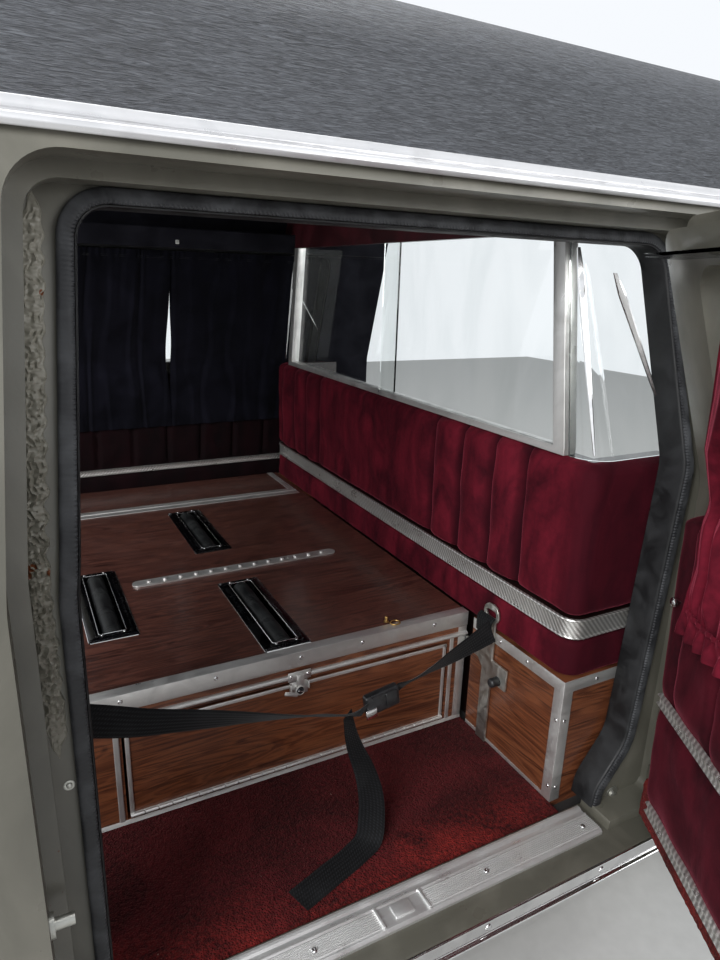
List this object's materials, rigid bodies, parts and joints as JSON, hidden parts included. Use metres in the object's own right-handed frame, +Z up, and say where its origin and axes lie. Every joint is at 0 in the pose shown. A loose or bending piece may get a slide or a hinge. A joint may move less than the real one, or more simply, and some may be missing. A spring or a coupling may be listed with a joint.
{
  "type": "hearse side door load bay",
  "caption": "Body section of a hearse around its side-loading doors: roof, pillars, roller deck, velvet partition with glass, and both side doors on hinges.",
  "frame": {"origin": "middle of the section's flat base, on the centreline, centred between the four body bolt holes", "axes": "+X forwards, +Y to the vehicle's left, +Z up"},
  "size_m": [1.48, 2.8432, 1.58],
  "materials": {
    "underbody_paint": "matt black underbody coating",
    "body_paint": "greenish grey enamel, semi-gloss, dusty and chalked in the door jambs",
    "polished_trim": "polished bright metal",
    "ribbed_aluminium": "bright anodised aluminium with fine lengthwise ribs",
    "seal_rubber": "dark grey ribbed pinch-weld seal",
    "zinc_plate": "zinc-plated steel, a little dull",
    "vinyl_roof": "charcoal vinyl roof cloth with a fine lengthwise grain",
    "dark_headlining": "dark napped headlining",
    "red_carpet": "dark red cut-pile carpet",
    "walnut_laminate": "dark walnut laminate with a satin sheen",
    "rosewood_laminate": "red-brown figured wood-grain laminate, satin",
    "plain_plywood": "unpainted plywood",
    "satin_aluminium": "satin extruded aluminium angle, scuffed",
    "roller_steel": "plated steel tray, worn bright on the flange",
    "roller_rubber": "black grooved rubber",
    "burgundy_velvet": "burgundy crushed velvet with a strong sheen",
    "hatched_stainless": "stainless band with a pressed hatched pattern",
    "clear_glass": "clear sheet glass",
    "red_leathercloth": "dark red padded leathercloth",
    "navy_curtain": "near-black navy curtain velvet",
    "black_webbing": "black woven webbing",
    "buckle_plastic": "black moulded buckle housing"
  },
  "bodies": {
    "root": {"crossmembers": "underbody_paint", "floor_pan": "underbody_paint", "sills": "body_paint", "rocker_mouldings": "polished_trim", "tread_plates": "ribbed_aluminium", "side_frame_right": "body_paint", "side_frame_left": "body_paint", "door_seals": "seal_rubber", "door_hardware": "zinc_plate", "roof_shell": "vinyl_roof", "roof_bows": "body_paint", "headliner": "dark_headlining", "drip_mouldings": "polished_trim", "footwell_carpets": "red_carpet", "deck_board": "walnut_laminate", "deck_bearers": "plain_plywood", "riser_panel": "rosewood_laminate", "riser_trims": "satin_aluminium", "deck_trims": "satin_aluminium", "roller_trays": "roller_steel", "pin_track": "satin_aluminium", "partition_core": "plain_plywood", "partition_velvet": "burgundy_velvet", "trim_band": "hatched_stainless", "footwell_boxes": "rosewood_laminate", "box_edging": "satin_aluminium", "divider_frame": "satin_aluminium", "divider_panes": "clear_glass", "corner_glasses": "clear_glass", "header_panel": "red_leathercloth", "belt_bracket": "zinc_plate", "belt_webbing": "black_webbing", "belt_buckle": "buckle_plastic"},
    "door_right": {"door_shell_right": "body_paint", "door_glass_right": "clear_glass", "door_card_right": "burgundy_velvet", "door_kick_carpet_right": "red_carpet", "door_trims_right": "hatched_stainless", "door_curtain_right": "burgundy_velvet", "door_hinge_leaves_right": "zinc_plate"},
    "door_left": {"door_shell_left": "body_paint", "door_glass_left": "clear_glass", "door_card_left": "burgundy_velvet", "door_kick_carpet_left": "red_carpet", "door_trims_left": "hatched_stainless", "door_curtain_left": "navy_curtain", "door_hinge_leaves_left": "zinc_plate"},
    "hatch": {"hatch_panel": "rosewood_laminate", "hatch_trim": "satin_aluminium"},
    "deck_lid_body": {"deck_lid": "walnut_laminate", "deck_lid_trims": "satin_aluminium"},
    "drum_near": {"roller_drum_near": "roller_rubber"},
    "drum_far": {"roller_drum_far": "roller_rubber"},
    "drum_rear": {"roller_drum_rear": "roller_rubber"}
  },
  "joints": [
    {"name": "right_door_hinge", "type": "hinge", "parent": "root", "child": "door_right", "pos_m": [0.462, -0.926, 0.515], "axis": [0, 0, 1], "range_deg": [-62, 8]},
    {"name": "left_door_hinge", "type": "hinge", "parent": "root", "child": "door_left", "pos_m": [0.462, 0.926, 0.515], "axis": [0, 0, 1], "range_deg": [-70, 0]},
    {"name": "hatch_hinge", "type": "hinge", "parent": "root", "child": "hatch", "pos_m": [-0.129, -0.464, 0.169], "axis": [1, 0, 0], "range_deg": [0, 90]},
    {"name": "deck_lid_hinge", "type": "hinge", "parent": "root", "child": "deck_lid_body", "pos_m": [-0.214, 0.53, 0.4283], "axis": [1, 0, 0], "range_deg": [0, 95]},
    {"name": "near_drum_spin", "type": "hinge", "parent": "root", "child": "drum_near", "pos_m": [-0.15, -0.265, 0.416], "axis": [0, 1, 0], "continuous": true},
    {"name": "far_drum_spin", "type": "hinge", "parent": "root", "child": "drum_far", "pos_m": [-0.15, 0.28, 0.416], "axis": [0, 1, 0], "continuous": true},
    {"name": "rear_drum_spin", "type": "hinge", "parent": "root", "child": "drum_rear", "pos_m": [-0.46, -0.087, 0.416], "axis": [0, 1, 0], "continuous": true}
  ]
}
